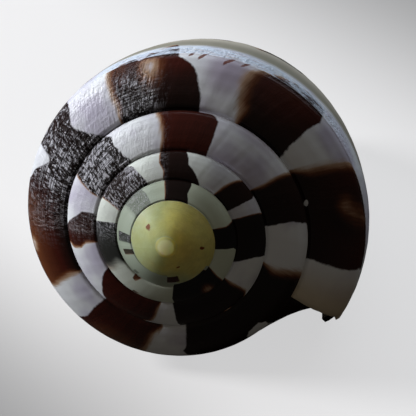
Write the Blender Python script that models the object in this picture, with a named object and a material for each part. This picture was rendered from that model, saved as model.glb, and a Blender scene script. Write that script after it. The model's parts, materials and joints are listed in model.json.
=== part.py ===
"""Cone shell, lying on its side on its aperture, the way it comes to rest on a table.

The shell is one piece. It is a tube that grew in a spiral round an axis, each turn larger than the
last by the same ratio, so every size below is worked out from the radius of the shoulder at the lip.
A section through the axis shows the ramp of a whorl, which runs out from the suture to the shoulder,
and the side of the body, which runs from the shoulder down to the narrow end. Turns are counted back
from the lip, which is turn 0. In the shell's own frame the spire points along +Z.
"""

import math

import bmesh
import bpy
from mathutils import Matrix, Vector

# Driving dimensions, in metres.
LIP_RADIUS = 0.0145  # axis to shoulder, at the lip
WALL = 0.0011
LIP_WALL = 0.0005  # the wall thins to this at the growing edge
GLAZE = 0.0002  # laid on the previous whorl inside the aperture

# The spiral.
WHORL_GROWTH = 1.43  # radius after one turn over radius before it
END_GROWTH = 1.9  # the same ratio at the narrow end
SPIRE_SLOPE = 0.57  # depth of a shoulder below the spire's tip, over its radius
SPIRE_TURNS = 8
HOLLOW_TURNS = 0.75
STEPS_PER_TURN = 40
LIP_ANGLE = math.radians(-32)

# Ramp of a whorl, over its radius: level as it leaves the suture, steep as it meets the shoulder.
RAMP_START = (0.15, -0.030)
RAMP_EDGE = (-0.008, 0.045)
WORN_RADII = (0.0020, 0.0044)  # the spire is worn to a smooth cap inside the first of these
NIPPLE_HEIGHT = 0.0004
NIPPLE_RINGS = ((0.8, 0.6), (0.45, 0.9))  # shares of its radius and of its height

# Side of the body, as (radius, depth below the shoulder), over the radius at the lip.
SIDE_CURVE = ((1.0, 0.0), (1.07, 0.40), (0.77, 1.55), (0.25, 2.35))
END_DEPTH = 0.10  # the rounded tip below the end of that curve

# The growing edge: a notch below the shoulder, then a long stretch that runs ahead, and a last notch
# at the narrow end. Depths are below the shoulder, over the radius at the lip.
LIP_LEAD = math.radians(9)
SHOULDER_NOTCH = (0.16, 0.24)
LEAD_FADE = (0.9, 2.3)
END_LAG = math.radians(16)
END_NOTCH = (1.8, 2.35)
LEAD_TURNS = 0.3  # how far behind the lip this shape fades out

# Callus that fills the corner between the lip and the previous whorl.
CORNER_FILL = 0.15
CORNER_SPREAD = math.radians(10)
CORNER_SHARES = (0.07, 0.4)  # shares of the side where it is thickest and where it ends

# Shares of the ramp and the side where the hollow starts and ends: at the lip, and well behind it.
RAMP_FROM = (0.5, 0.16)
RAMP_TO = 0.88  # short of the shoulder, which turns too sharply to follow at the wall's distance
SIDE_FROM = 0.035
INNER_FROM = (0.12, 0.06)
SIDE_TO = (1.0, 0.74)
TIP_TO = (1.4, 0.80)
INNER_TIP = 0.95  # the hollow's inner wall ends this share of the way to its outer wall's tip
HOLLOW_SHRINK_TURNS = 0.25
THICKENING_TURNS = 0.125  # from the thin growing edge to the full wall

# Rows of points along one section.
RAMP_ROWS = 5
SIDE_ROWS = 16
END_ROWS = 3

# How the shell lies: turned round its axis, then tipped until lip, side and narrow end all touch.
REST_ROLL = math.radians(-2.59)
REST_TIP = math.radians(-11.60)

SHELL_COLOUR = (0.42, 0.37, 0.36, 1.0)


def smooth_step(low, high, value):
    share = min(1, max(0, (value - low) / (high - low)))
    return share * share * (3 - 2 * share)


def bezier(corners, share):
    """Point at share, 0 to 1, of a cubic curve with these four control points."""
    a, b, c, d = (Vector(corner) for corner in corners)
    rest = 1 - share
    return rest**3 * a + 3 * rest**2 * share * b + 3 * rest * share**2 * c + share**3 * d


# --- A section through the axis, as (radius, height) points ---------------------------------------


def shoulder_point(turn):
    """The first turn winds round a small round nipple, so the radius starts from a circle."""
    radius = LIP_RADIUS * WHORL_GROWTH ** max(turn, -SPIRE_TURNS)
    return Vector((radius, -SPIRE_SLOPE * radius))


def ramp_point(turn, share):
    """From the suture, which lies on the shoulder of the turn before, out to this turn's shoulder."""
    inner = shoulder_point(turn - 1)
    outer = shoulder_point(turn)
    full = outer.x * (1 - 1 / WHORL_GROWTH)
    width = (outer.x - inner.x) / full * outer.x
    start = inner + width * Vector(RAMP_START)
    edge = outer + width * Vector(RAMP_EDGE)
    worn = 1 - smooth_step(*WORN_RADII, outer.x)
    return bezier((inner, start, edge, outer), share).lerp(inner.lerp(outer, share), worn)


def side_point(turn, share):
    """Down the side for a share of 0 to 1, then in round the narrow end to the axis at 2.

    Each corner of the curve grows at a rate of its own, and the narrow end stays at one level.
    """
    shoulder = shoulder_point(turn)
    level = (SPIRE_SLOPE + SIDE_CURVE[3][1]) * LIP_RADIUS
    stretch = (level + shoulder.y) / SIDE_CURVE[3][1]
    end_scale = LIP_RADIUS * END_GROWTH**turn
    middle_scale = math.sqrt(shoulder.x * end_scale)
    scales = (shoulder.x, shoulder.x, middle_scale, end_scale)
    corners = [
        (scale * radius, shoulder.y - stretch * depth)
        for scale, (radius, depth) in zip(scales, SIDE_CURVE)
    ]
    point = bezier(corners, min(share, 1))
    point.x += corner_fill(turn, share)
    if share > 1:
        angle = (share - 1) * math.pi / 2
        point.x *= math.cos(angle)
        point.y -= END_DEPTH * LIP_RADIUS * math.sin(angle)
    return point


def corner_fill(turn, share):
    """Extra radius of the callus in the corner of the lip, on the whorl that the lip meets."""
    thickest, end = CORNER_SHARES
    down = smooth_step(0, thickest, share) * (1 - smooth_step(thickest, end, share))
    return CORNER_FILL * LIP_RADIUS * down * math.exp(-2 * math.pi * abs(turn + 1) / CORNER_SPREAD)


def inset(curve, turn, share, distance):
    """The point of a curve, moved into the wall by distance."""
    step = 0.001
    along = (curve(turn, share + step) - curve(turn, share - step)).normalized()
    return curve(turn, share) + distance * Vector((along.y, -along.x))


def lip_lead(height):
    """How far the growing edge runs ahead, as an angle, at a height on the shell."""
    depth = -height / LIP_RADIUS - SPIRE_SLOPE
    ahead = smooth_step(*SHOULDER_NOTCH, depth) - smooth_step(*LEAD_FADE, depth)
    return LIP_LEAD * ahead - END_LAG * smooth_step(*END_NOTCH, depth)


# --- Rows of points in space ------------------------------------------------------------------------


def in_space(point, turn, leads=False):
    """Turns a section's point round the axis. The coil is right-handed: clockwise from the spire."""
    angle = LIP_ANGLE - 2 * math.pi * turn
    if leads:
        angle -= lip_lead(point.y) * smooth_step(-LEAD_TURNS, 0, turn)
    return Vector((point.x * math.cos(angle), point.x * math.sin(angle), point.y))


def side_share(row):
    """Rows crowd towards the shoulder, where the side curves most, and follow the narrow end."""
    if row <= SIDE_ROWS:
        return (row / SIDE_ROWS) ** 1.4
    return 1 + (row - SIDE_ROWS) / END_ROWS


def spire_section(turn):
    return [in_space(ramp_point(turn, row / RAMP_ROWS), turn) for row in range(RAMP_ROWS + 1)]


def outer_section(turn):
    """Everything on the outside of the last whorl, from the suture to the tip of the narrow end."""
    ramp = spire_section(turn)[:-1]
    rows = range(SIDE_ROWS + END_ROWS + 1)
    return ramp + [in_space(side_point(turn, side_share(row)), turn, leads=True) for row in rows]


def hollow_share(row, start, side_to, tip_to):
    """The share of a row of the hollow: the same as outside it at the lip, less further in."""
    share = side_share(row)
    if share <= 1:
        return start + (side_to - start) * share
    return side_to + (tip_to - side_to) * (share - 1)


def hollow_section(turn):
    """The closed loop of the hollow's wall: along the ramp, down the outer wall, up the inner one."""
    corner = math.exp(2 * math.pi * turn / CORNER_SPREAD)
    mouth = smooth_step(-HOLLOW_SHRINK_TURNS, 0, turn)
    ramp_from, inner_from = (
        inside + (at_lip - inside) * corner for at_lip, inside in (RAMP_FROM, INNER_FROM)
    )
    side_to, tip_to = (inside + (at_lip - inside) * mouth for at_lip, inside in (SIDE_TO, TIP_TO))
    wall = LIP_WALL + (WALL - LIP_WALL) * smooth_step(0, THICKENING_TURNS, -turn)
    loop = []
    for row in range(RAMP_ROWS):
        share = ramp_from + (RAMP_TO - ramp_from) * row / (RAMP_ROWS - 1)
        loop.append(in_space(inset(ramp_point, turn, share, wall), turn))
    for row in range(SIDE_ROWS + END_ROWS + 1):
        share = hollow_share(row, SIDE_FROM, side_to, tip_to)
        loop.append(in_space(inset(side_point, turn, share, wall), turn, leads=True))
    for row in range(SIDE_ROWS + END_ROWS - 1, 0, -1):
        share = hollow_share(row, inner_from, side_to, INNER_TIP * tip_to)
        loop.append(in_space(inset(side_point, turn - 1, share, -GLAZE), turn))
    return loop


# --- The mesh ---------------------------------------------------------------------------------------


def grow(mesh, sections, closed=False):
    """Lays the first section down as a chain of edges, and extrudes it to each section after it."""
    row_of = mesh.verts.layers.int["row"]
    chain = [mesh.verts.new(point) for point in sections[0]]
    for row, vert in enumerate(chain):
        vert[row_of] = row
    edges = [mesh.edges.new(pair) for pair in zip(chain, chain[1:])]
    if closed:
        edges.append(mesh.edges.new((chain[-1], chain[0])))
    for section in sections[1:]:
        grown = bmesh.ops.extrude_edge_only(mesh, edges=edges)["geom"]
        verts = {item for item in grown if isinstance(item, bmesh.types.BMVert)}
        for vert in verts:
            vert.co = section[vert[row_of]]
        edges = [
            item
            for item in grown
            if isinstance(item, bmesh.types.BMEdge) and verts.issuperset(item.verts)
        ]
    return edges


def turns(first, last):
    """Turns from first to last, a fixed number of steps to each full turn."""
    steps = round(abs(last - first) * STEPS_PER_TURN)
    return [first + (last - first) * step / steps for step in range(steps + 1)]


def cap_nipple(mesh):
    """Closes the round hole left at the start of the spire with a low dome."""
    start = shoulder_point(-SPIRE_TURNS)
    rim = [
        edge
        for edge in mesh.edges
        if edge.is_boundary and all(vert.co.xy.length < 1.01 * start.x for vert in edge.verts)
    ]
    for scale, rise in NIPPLE_RINGS:
        grown = bmesh.ops.extrude_edge_only(mesh, edges=rim)["geom"]
        verts = {item for item in grown if isinstance(item, bmesh.types.BMVert)}
        for vert in verts:
            level = start.y + rise * NIPPLE_HEIGHT
            vert.co = (vert.co.xy.normalized() * scale * start.x).to_3d() + Vector((0, 0, level))
        rim = [
            item
            for item in grown
            if isinstance(item, bmesh.types.BMEdge) and verts.issuperset(item.verts)
        ]
    top = bmesh.ops.extrude_edge_only(mesh, edges=rim)["geom"]
    verts = [item for item in top if isinstance(item, bmesh.types.BMVert)]
    bmesh.ops.pointmerge(mesh, verts=verts, merge_co=(0, 0, start.y + NIPPLE_HEIGHT))


def fill_growing_edge(mesh):
    """Faces of the lip's edge, between the outside of the last whorl and the mouth of the hollow."""
    across = in_space(Vector((1, 0)), 0).cross(Vector((0, 0, 1)))
    edges = [edge for edge in mesh.edges if edge.is_boundary]
    bmesh.ops.triangle_fill(mesh, edges=edges, normal=across, use_beauty=True)


def resting_place():
    """Turns the shell round its axis, tips it over onto its aperture, spire towards -Y."""
    roll = Matrix.Rotation(REST_ROLL, 4, "Z")
    tip = Matrix.Rotation(REST_TIP + math.pi / 2, 4, "X")
    return tip @ roll


def build_shell():
    mesh = bmesh.new()
    mesh.verts.layers.int.new("row")
    grow(mesh, [spire_section(turn) for turn in turns(-SPIRE_TURNS, -1)])
    grow(mesh, [outer_section(turn) for turn in turns(-1, 0)])
    hollow = [hollow_section(turn) for turn in turns(0, -HOLLOW_TURNS)]
    back = grow(mesh, hollow, closed=True)
    bmesh.ops.contextual_create(mesh, geom=back)
    bmesh.ops.remove_doubles(mesh, verts=mesh.verts, dist=1e-6)
    cap_nipple(mesh)
    fill_growing_edge(mesh)
    bmesh.ops.dissolve_degenerate(mesh, edges=mesh.edges, dist=1e-7)
    bmesh.ops.recalc_face_normals(mesh, faces=mesh.faces)
    bmesh.ops.transform(mesh, matrix=resting_place(), verts=mesh.verts)
    return mesh


def place_on_floor(mesh):
    """Moves the shell so that its box stands on z = 0, with the middle of its base at the origin."""
    xs, ys, zs = zip(*(vert.co for vert in mesh.verts))
    base = Vector(((min(xs) + max(xs)) / 2, (min(ys) + max(ys)) / 2, min(zs)))
    bmesh.ops.translate(mesh, vec=-base, verts=mesh.verts)


def shell_material():
    material = bpy.data.materials.new("shell")
    material.use_nodes = True
    shader = material.node_tree.nodes["Principled BSDF"]
    shader.inputs["Base Color"].default_value = SHELL_COLOUR
    shader.inputs["Roughness"].default_value = 0.3
    shader.inputs["Metallic"].default_value = 0.0
    return material


def main():
    for item in list(bpy.data.objects):
        bpy.data.objects.remove(item)
    collection = bpy.data.collections.new("cone_shell")
    bpy.context.scene.collection.children.link(collection)
    mesh = build_shell()
    place_on_floor(mesh)
    data = bpy.data.meshes.new("shell")
    mesh.to_mesh(data)
    mesh.free()
    data.materials.append(shell_material())
    data.shade_smooth()
    data.set_sharp_from_angle(angle=math.radians(35))
    collection.objects.link(bpy.data.objects.new("shell", data))


main()
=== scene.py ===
# %% [markdown]
# # A cone shell lying on a table
#
# The real thing is the empty shell of a small sea snail, about 43 mm long. It is one piece that grew in
# a spiral. This lesson grows it the same way: one section of the whorl is drawn, and bmesh extrudes it
# again and again while it turns, widens and sinks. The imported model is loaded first, because it fixes
# the size and the place of everything that follows.

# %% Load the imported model
import json
import math

import bmesh
import bpy
import numpy as np
from mathutils import Matrix, Vector

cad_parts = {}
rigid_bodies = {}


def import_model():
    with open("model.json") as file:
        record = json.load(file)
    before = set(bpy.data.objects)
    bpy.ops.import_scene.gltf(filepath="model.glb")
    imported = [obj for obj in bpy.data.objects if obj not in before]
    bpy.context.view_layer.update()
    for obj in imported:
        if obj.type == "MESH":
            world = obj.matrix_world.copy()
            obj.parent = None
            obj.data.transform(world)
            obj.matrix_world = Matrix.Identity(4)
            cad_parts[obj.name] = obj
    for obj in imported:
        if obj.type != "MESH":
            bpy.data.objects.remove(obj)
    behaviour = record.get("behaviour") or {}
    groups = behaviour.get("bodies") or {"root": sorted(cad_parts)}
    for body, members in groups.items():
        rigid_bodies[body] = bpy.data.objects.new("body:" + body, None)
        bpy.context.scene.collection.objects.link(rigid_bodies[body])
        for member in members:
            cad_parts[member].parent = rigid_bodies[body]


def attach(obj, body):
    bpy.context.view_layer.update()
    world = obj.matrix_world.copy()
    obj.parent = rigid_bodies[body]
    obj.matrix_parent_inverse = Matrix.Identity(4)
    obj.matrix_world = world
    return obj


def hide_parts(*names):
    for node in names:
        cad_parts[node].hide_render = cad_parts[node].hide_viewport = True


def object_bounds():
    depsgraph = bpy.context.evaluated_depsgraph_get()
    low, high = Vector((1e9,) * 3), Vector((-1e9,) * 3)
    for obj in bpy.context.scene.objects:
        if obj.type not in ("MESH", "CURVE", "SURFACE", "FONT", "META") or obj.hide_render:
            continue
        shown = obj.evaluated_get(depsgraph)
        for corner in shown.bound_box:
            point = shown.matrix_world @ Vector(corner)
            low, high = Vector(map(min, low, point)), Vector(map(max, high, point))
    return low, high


scene = bpy.context.scene
for item in list(bpy.data.objects):
    bpy.data.objects.remove(item)
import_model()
solid_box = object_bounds()


def put(name, data):
    """Puts a new object into the scene."""
    made = bpy.data.objects.new(name, data)
    scene.collection.objects.link(made)
    return made


print("solid box", [tuple(round(1000 * c, 2) for c in corner) for corner in solid_box], "mm")

# %% [markdown]
# ## The camera
#
# Gloss and whorls are judged through the final camera, so it comes first. It stands 13 cm from the
# spire with a long lens, a little to the right of the shell's axis, and looks down on it. A camera
# points along its own -Z, so a track quaternion turns -Z to the point that it looks at, and a small
# roll follows.

# %% Camera
CAMERA_PLACE = Vector((0.0214, -0.1337, 0.0758))
LOOKED_AT = Vector((0.0019, -0.0196, 0.0152))
CAMERA_ROLL = math.radians(5.76)
CAMERA_LENS = 155.8

camera_data = bpy.data.cameras.new("camera")
camera_data.lens = CAMERA_LENS
camera_data.clip_start = 0.01
camera = put("camera", camera_data)
camera.location = CAMERA_PLACE
turned = (LOOKED_AT - CAMERA_PLACE).to_track_quat("-Z", "Y")
camera.rotation_mode = "QUATERNION"
camera.rotation_quaternion = turned @ Matrix.Rotation(-CAMERA_ROLL, 3, "Z").to_quaternion()
scene.camera = camera
scene.view_settings.view_transform = "Standard"
print("camera stands", round(1000 * (LOOKED_AT - CAMERA_PLACE).length), "mm away")

# %% [markdown]
# ## Lamps, world and table
#
# A shell's gloss needs something large and bright to mirror. A soft lamp high on the left models the
# cone of the spire. A wide one, high behind the shell, draws the pale line along its shoulder, and a
# large weak one overhead softens the rest. The world fills the shadows. A colour in a node is linear,
# so a helper turns the everyday 0 to 255 numbers into linear ones. A few more helpers make the nodes
# that are needed again and again.


# %% Lamps
def colour(red, green, blue):
    """Linear RGBA from everyday 0 to 255 numbers."""
    return [((c / 255 + 0.055) / 1.055) ** 2.4 if c > 10 else c / 3295 for c in (red, green, blue)] + [1]


SPIRE_MIDDLE = Vector((0, -0.019, 0.012))


def soft_lamp(name, direction, distance, sizes, watts, tint):
    """A lamp that stands in a direction from the spire and looks at it."""
    lamp = bpy.data.lights.new(name, "AREA")
    lamp.shape = "ELLIPSE"
    lamp.size, lamp.size_y = sizes
    lamp.energy = watts
    lamp.color = tint
    holder = put(name, lamp)
    holder.location = SPIRE_MIDDLE + distance * Vector(direction).normalized()
    holder.rotation_mode = "QUATERNION"
    holder.rotation_quaternion = (SPIRE_MIDDLE - holder.location).to_track_quat("-Z", "Y")


soft_lamp("window on the left", (-0.86, 0.05, 0.50), 0.40, (0.12, 0.12), 2.1, (0.93, 0.96, 1.0))
soft_lamp("sky overhead", (0.08, 0.60, 0.80), 0.40, (0.80, 0.20), 1.25, (0.80, 0.90, 1.0))
soft_lamp("pale ceiling", (0.10, -0.25, 0.96), 0.50, (0.70, 0.70), 0.09, (0.93, 0.97, 1.0))

# %% Node helpers
def feed(socket, value):
    """Links a socket to another, or sets its value."""
    if isinstance(value, bpy.types.NodeSocket):
        links.new(value, socket)
    else:
        socket.default_value = value


def open_tree(owner):
    """The nodes and the links of a world's or a material's tree."""
    owner.use_nodes = True
    return owner.node_tree.nodes, owner.node_tree.links


def fill(node, values):
    """Links or sets several inputs of a node by their names."""
    for name, value in values.items():
        feed(node.inputs[name], value)


def maths(kind, first, second=0.0, third=0.0):
    node = nodes.new("ShaderNodeMath")
    node.operation = kind
    for socket, value in zip(node.inputs, (first, second, third)):
        feed(socket, value)
    return node.outputs[0]


def ease_between(value, low, high, from_value=0.0, to_value=1.0):
    """A smooth step from one value to another, while the input goes from low to high."""
    node = nodes.new("ShaderNodeMapRange")
    node.interpolation_type = "SMOOTHSTEP"
    for socket, item in zip(node.inputs, (value, low, high, from_value, to_value)):
        feed(socket, item)
    return node.outputs[0]


def blend(share, first, second):
    node = nodes.new("ShaderNodeMix")
    node.data_type = "RGBA"
    for index, value in zip((0, 6, 7), (share, first, second)):
        feed(node.inputs[index], value)
    return node.outputs[2]


def product(first, *others):
    for other in others:
        first = maths("MULTIPLY", first, other)
    return first


def vector_maths(kind, output, first, second=(0, 0, 0)):
    node = nodes.new("ShaderNodeVectorMath")
    node.operation = kind
    feed(node.inputs[0], first)
    feed(node.inputs[1], second)
    return node.outputs[output]


print("helpers work on the node tree that was opened last")

# %% World
world = bpy.data.worlds.new("studio")
scene.world = world
nodes, links = open_tree(world)
seen_directly = nodes.new("ShaderNodeLightPath").outputs["Is Camera Ray"]
room = nodes["Background"]
fill(room, {"Color": colour(226, 210, 190), "Strength": 0.085})
seen_room = nodes.new("ShaderNodeBackground")
fill(seen_room, {"Color": colour(236, 236, 236)})
choose = nodes.new("ShaderNodeMixShader")
for socket, value in zip(choose.inputs, (seen_directly, room.outputs[0], seen_room.outputs[0])):
    feed(socket, value)
feed(nodes["World Output"].inputs["Surface"], choose.outputs[0])
print("world fills at strength", room.inputs["Strength"].default_value)

# %% [markdown]
# The table is pale paper, and beyond two lines across it the paper fades into dusk. A pale table would
# light the shell from below and lie as a white band in its gloss. A light path node prevents that: the
# camera sees pale paper with a glow of its own, and every other ray meets dark paper with none.

# %% Table
TABLE_RADIUS = 2.0
floor_mesh = bmesh.new()
bmesh.ops.create_circle(floor_mesh, cap_ends=True, segments=64, radius=TABLE_RADIUS)
floor_data = bpy.data.meshes.new("table")
floor_mesh.to_mesh(floor_data)
floor_mesh.free()
table = put("table", floor_data)
print("table has", len(floor_data.polygons), "face")

# %% Paper
PAPER = colour(131, 128, 126)
PAPER_IN_DUSK = colour(86, 84, 82)
PAPER_FOR_LIGHT = colour(62, 58, 52)
GLOW = colour(203, 203, 204)
GLOW_IN_DUSK = colour(130, 130, 131)
DUSK_LINES = (((1.0, 0.8, 0), 0.020, 0.072), ((-1.0, -0.8, 0), 0.012, 0.040))  # direction, from, to

paper = bpy.data.materials.new("pale paper")
nodes, links = open_tree(paper)
sheet = nodes["Principled BSDF"]
fill(sheet, {"Roughness": 0.9, "Specular IOR Level": 0.1, "Emission Strength": 1.0})
seen_directly = nodes.new("ShaderNodeLightPath").outputs["Is Camera Ray"]
spot = nodes.new("ShaderNodeTexCoord").outputs["Object"]


def past_line(direction, low, high):
    """Share of darkness beyond a line across the table."""
    return ease_between(vector_maths("DOT_PRODUCT", "Value", spot, direction), low, high)


dusk = maths("ADD", *(past_line(*line) for line in DUSK_LINES))


def by_ray(darker, paler, far):
    """A colour that other rays see as darker, and the camera as paler, fading to far in the dusk."""
    return blend(seen_directly, darker, blend(dusk, paler, far))


feed(sheet.inputs["Base Color"], by_ray(PAPER_FOR_LIGHT, PAPER, PAPER_IN_DUSK))
feed(sheet.inputs["Emission Color"], by_ray(colour(0, 0, 0), GLOW, GLOW_IN_DUSK))
floor_data.materials.append(paper)
print("paper fades beyond", [low for _, low, _ in DUSK_LINES], "m")

# %% [markdown]
# ## The spiral
#
# Every turn of the shell is 1.43 times as wide as the one before, so one rule gives all the whorls.
# A section through the axis has two lines: the ramp, from the suture out to the shoulder, and the side
# of the body, from the shoulder down to the narrow end. Both are cubic curves with four corners. Turns
# are counted from the lip, which is turn 0, back to -8 at the tip of the spire.

# %% Numbers of the spiral
LIP_RADIUS = 0.0145
WALL = 0.0011
LIP_WALL = 0.0005
GLAZE = 0.0002
WHORL_GROWTH = 1.43
END_GROWTH = 1.9
SPIRE_SLOPE = 0.57
SPIRE_TURNS = 8
HOLLOW_TURNS = 0.75
LIP_ANGLE = math.radians(-33.25)
RAMP_START = (0.15, -0.030)  # a middle corner of the ramp's curve, from the suture
RAMP_EDGE = (-0.008, 0.045)  # the other one, from the shoulder
WORN_RADII = (0.0032, 0.0052)
SIDE_CURVE = ((1.0, 0.0), (1.07, 0.40), (0.77, 1.55), (0.25, 2.35))  # radius and depth of its corners
END_DEPTH = 0.10
radii = [round(LIP_RADIUS * WHORL_GROWTH**-turn * 1000, 1) for turn in range(5)]
print("whorls are", radii, "mm in radius")


# %% Curves of a section
def smooth_step(low, high, value):
    share = np.clip((value - low) / (high - low), 0, 1)
    return share * share * (3 - 2 * share)


def plateau(rise, full, fall, end, value):
    """Goes from 0 to 1 between rise and full, and back to 0 between fall and end."""
    return smooth_step(rise, full, value) * (1 - smooth_step(fall, end, value))


def bezier(corners, share):
    """Points, as (radius, height) rows, at shares of a cubic curve."""
    a, b, c, d = (np.asarray(corner, float) for corner in corners)
    share = np.asarray(share, float)[..., None]
    rest = 1 - share
    return rest**3 * a + 3 * rest**2 * share * b + 3 * rest * share**2 * c + share**3 * d


def shoulder_point(turn):
    radius = LIP_RADIUS * WHORL_GROWTH ** max(turn, -SPIRE_TURNS)
    return np.array((radius, -SPIRE_SLOPE * radius))


def ramp_points(turn, share):
    """From the suture, which lies on the shoulder of the turn before, out to this turn's shoulder."""
    inner, outer = shoulder_point(turn - 1), shoulder_point(turn)
    full = outer[0] * (1 - 1 / WHORL_GROWTH)
    width = (outer[0] - inner[0]) / full * outer[0]
    corners = (inner, inner + width * np.array(RAMP_START), outer + width * np.array(RAMP_EDGE), outer)
    worn = 1 - smooth_step(*WORN_RADII, outer[0])
    straight = inner + (outer - inner) * np.asarray(share)[..., None]
    return bezier(corners, share) * (1 - worn) + straight * worn


def side_points(turn, share):
    """Down the side for a share of 0 to 1, then in round the narrow end to the axis at 2."""
    share = np.asarray(share, float)
    shoulder = shoulder_point(turn)
    level = (SPIRE_SLOPE + SIDE_CURVE[3][1]) * LIP_RADIUS
    stretch = (level + shoulder[1]) / SIDE_CURVE[3][1]
    end_scale = LIP_RADIUS * END_GROWTH**turn
    scales = (shoulder[0], shoulder[0], math.sqrt(shoulder[0] * end_scale), end_scale)
    corners = [
        (scale * radius, shoulder[1] - stretch * depth)
        for scale, (radius, depth) in zip(scales, SIDE_CURVE)
    ]
    points = bezier(corners, np.minimum(share, 1))
    points[..., 0] += corner_fill(turn, share)
    angle = np.maximum(share - 1, 0) * math.pi / 2
    points[..., 0] *= np.cos(angle)
    points[..., 1] -= END_DEPTH * LIP_RADIUS * np.sin(angle)
    return points


print("shoulder at the lip", shoulder_point(0))

# %% [markdown]
# ## The lip
#
# The growing edge isn't straight. On the ramp it bows ahead a little, and it juts out at the shoulder.
# Under the shoulder is a small notch, from where the edge runs ahead down the body, and it falls back
# at the narrow end. Callus fills the corner where the lip meets the whorl before it. All of it fades
# out behind the lip, so that the rest of the body stays smooth.

# %% Shape of the lip
RAMP_BOW = math.radians(0.6)
BOW_SHARES = (0, 0.35, 0.75, 0.93)
SHOULDER_POINT = math.radians(1.6)
POINT_SHARES = (0.84, 0.95)
POINT_DEPTHS = (0.03, 0.09)
CHIPS = math.radians(0.10)
LIP_LEAD = math.radians(9)
SHOULDER_NOTCH = (0.16, 0.24)
LEAD_FADE = (0.9, 2.3)
END_LAG = math.radians(16)
END_NOTCH = (1.8, 2.35)
LEAD_TURNS = 0.3
CORNER_FILL = 0.15
CORNER_SPREAD = math.radians(10)
CORNER_SHARES = (0.07, 0.4)


def corner_fill(turn, share):
    thickest, end = CORNER_SHARES
    down = plateau(0, thickest, thickest, end, share)
    return CORNER_FILL * LIP_RADIUS * down * math.exp(-2 * math.pi * abs(turn + 1) / CORNER_SPREAD)


def ramp_lead(across):
    """How far the growing edge runs ahead on the ramp, as an angle, at shares of the way across."""
    bow = plateau(*BOW_SHARES, across)
    chips = CHIPS * np.sin(23 * across) * np.sin(61 * across) * smooth_step(0, 0.1, across)
    return SHOULDER_POINT * smooth_step(*POINT_SHARES, across) + RAMP_BOW * bow + chips


def side_lead(points):
    """The same down the side, for (radius, height) rows."""
    depth = -points[:, 1] / LIP_RADIUS - SPIRE_SLOPE
    ahead = smooth_step(*SHOULDER_NOTCH, depth) - smooth_step(*LEAD_FADE, depth)
    ahead = LIP_LEAD * ahead - END_LAG * smooth_step(*END_NOTCH, depth)
    return ahead + SHOULDER_POINT * (1 - smooth_step(*POINT_DEPTHS, depth))


def in_space(points, turn, leads=0.0):
    """Turns (radius, height) rows round the axis. The coil is clockwise, seen from the spire."""
    angle = LIP_ANGLE - 2 * math.pi * turn - leads * smooth_step(-LEAD_TURNS, 0, turn)
    return np.stack((points[:, 0] * np.cos(angle), points[:, 0] * np.sin(angle), points[:, 1]), 1)


middle = np.array([[LIP_RADIUS, -0.02]])
print("lip runs ahead by", round(math.degrees(side_lead(middle)[0]), 1), "degrees at mid body")

# %% [markdown]
# ## Relief
#
# A whorl isn't turned on a lathe. It carries low growth folds across it and a few fine threads along
# it, and the worn cap of the spire swells into a small dome. Relief this large is moved into the
# points themselves, so the outline and every highlight follow it. Finer lines come later as bump.

# %% Relief of the outside
FOLD_RATES = (31, 47, 73)  # growth folds in one turn
GROWTH_SLANT = 0.0164  # turns that a growth line runs ahead on its way across a ramp
FOLD_HEIGHT = 0.0003  # of the whorl's radius
THREADS = 5  # along the ramp
THREADS_END = 1.4  # share of the ramp's width
FRESH_RADII = (0.0030, 0.0060)  # where the worn tip of the spire gives way to whole whorls
THREAD_HEIGHT = 0.0007
KEEL_HEIGHT = 0.0045
KEEL_SHARES = (0.90, 0.955, 0.955, 1.0)
KEEL_RADII = (0.0026, 0.0034)
GROOVE_DEPTH = 0.013
GROOVE_SHARES = (0, 0.012, 0.020, 0.06)
GROOVE_RADII = (0.0035, 0.0041)
DOME_SHARE = 0.9
DOME_RADIUS = 0.0037
DOME_FALL = 1.5


def relief(turn, across, radius, whorl):
    """Height of folds and threads over the plain surface, in metres."""
    folds = sum(np.sin(2 * math.pi * rate * (turn - GROWTH_SLANT * across) + rate) for rate in FOLD_RATES)
    threads = np.cos(2 * math.pi * THREADS * across) * (across < THREADS_END)
    fresh = smooth_step(*FRESH_RADII, radius)
    return fresh * whorl * (FOLD_HEIGHT * folds + THREAD_HEIGHT * threads)


def suture_relief(turn, across, whorl):
    """A low keel along the outer edge of a ramp, and a narrow groove along its suture."""
    groove = plateau(*GROOVE_SHARES, across) * smooth_step(*GROOVE_RADII, whorl)
    keel = plateau(*KEEL_SHARES, across)
    keel = keel * (1 - 0.6 * smooth_step(-1, -0.9, turn)) * smooth_step(*KEEL_RADII, whorl)
    return whorl * (KEEL_HEIGHT * keel - GROOVE_DEPTH * groove)


def dome(radius):
    """Height that the worn cap has over a plain cone, so that it is nearly flat at the axis."""
    share = np.clip(radius / DOME_RADIUS, 0, 1)
    return DOME_SHARE * SPIRE_SLOPE * radius * (1 - share) ** DOME_FALL


def moved_out(curve, turn, share, distance):
    """Points of a curve, moved out of the shell by a distance each."""
    step = 0.001
    along = curve(turn, share + step) - curve(turn, share - step)
    along /= np.maximum(np.linalg.norm(along, axis=1), 1e-9)[:, None]
    outward = np.stack((-along[:, 1], along[:, 0]), 1)
    return curve(turn, share) + outward * np.broadcast_to(distance, share.shape)[:, None]


print("folds stand", round(1e6 * FOLD_HEIGHT * LIP_RADIUS), "micrometres high at the lip")

# %% [markdown]
# ## Growing the shell
#
# bmesh.ops.extrude_edge_only takes a chain of edges and lays a strip of faces to a new chain. A
# section becomes a chain, and each extrusion is moved onto the next section, as the animal adds shell
# to its lip. Every vertex remembers where it is in the growth: how many turns back from the lip, how
# far across the whorl, and how far down the side. The markings are painted in those coordinates.

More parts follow.
